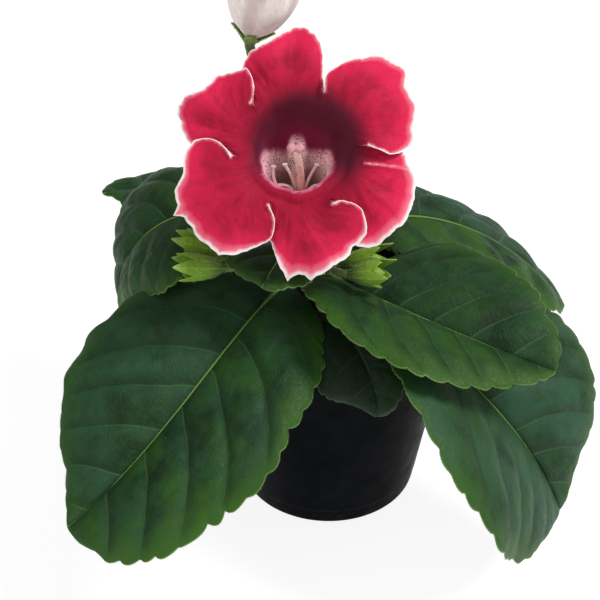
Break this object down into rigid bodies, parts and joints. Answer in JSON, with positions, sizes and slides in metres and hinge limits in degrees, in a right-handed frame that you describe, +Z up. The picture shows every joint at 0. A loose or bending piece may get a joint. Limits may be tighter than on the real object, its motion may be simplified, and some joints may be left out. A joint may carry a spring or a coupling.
{
  "type": "potted flowering house plant",
  "caption": "Potted gloxinia: a rosette of broad quilted leaves, a large ruffled bloom, a pale closed bud and young green buds, in a plain round nursery pot.",
  "frame": {"origin": "middle of the pot's underside, on the surface that it stands on", "axes": "+Z up; -Y towards the side that the bloom faces; +X to the right seen from there"},
  "size_m": [0.2335, 0.2319, 0.2687],
  "materials": {
    "pot": "matte moulded plastic, near black",
    "soil": "damp crumbly potting mix, dark brown",
    "stem": "downy green crown and stalks",
    "leaf": "downy dark green blades with paler veins",
    "calyx": "downy bright yellow-green",
    "petal": "velvety crimson-rose with a white margin and a dark red throat",
    "pale_bud": "velvety cream pink",
    "style": "smooth pale pink-beige",
    "filament": "smooth pale pink"
  },
  "bodies": {
    "root": {"pot": "pot", "soil": "soil", "stem": "stem", "bloom_corolla": "petal", "bloom_stalk": "calyx", "bloom_pistil": "style", "bloom_stamens": "filament", "bud_corolla": "pale_bud", "bud_stalk": "calyx", "leaf_front_left": "leaf", "leaf_right": "leaf", "leaf_front_right": "leaf", "leaf_far_right": "leaf", "leaf_left": "leaf", "leaf_far_left": "leaf", "leaf_under_bloom": "leaf", "leaf_over_rim": "leaf", "leaf_back_left": "leaf", "leaf_back": "leaf", "leaf_back_right": "leaf", "bud_left_upper": "calyx", "bud_left_lower": "calyx", "bud_right_upper": "calyx", "bud_right_lower": "calyx"}
  },
  "joints": []
}
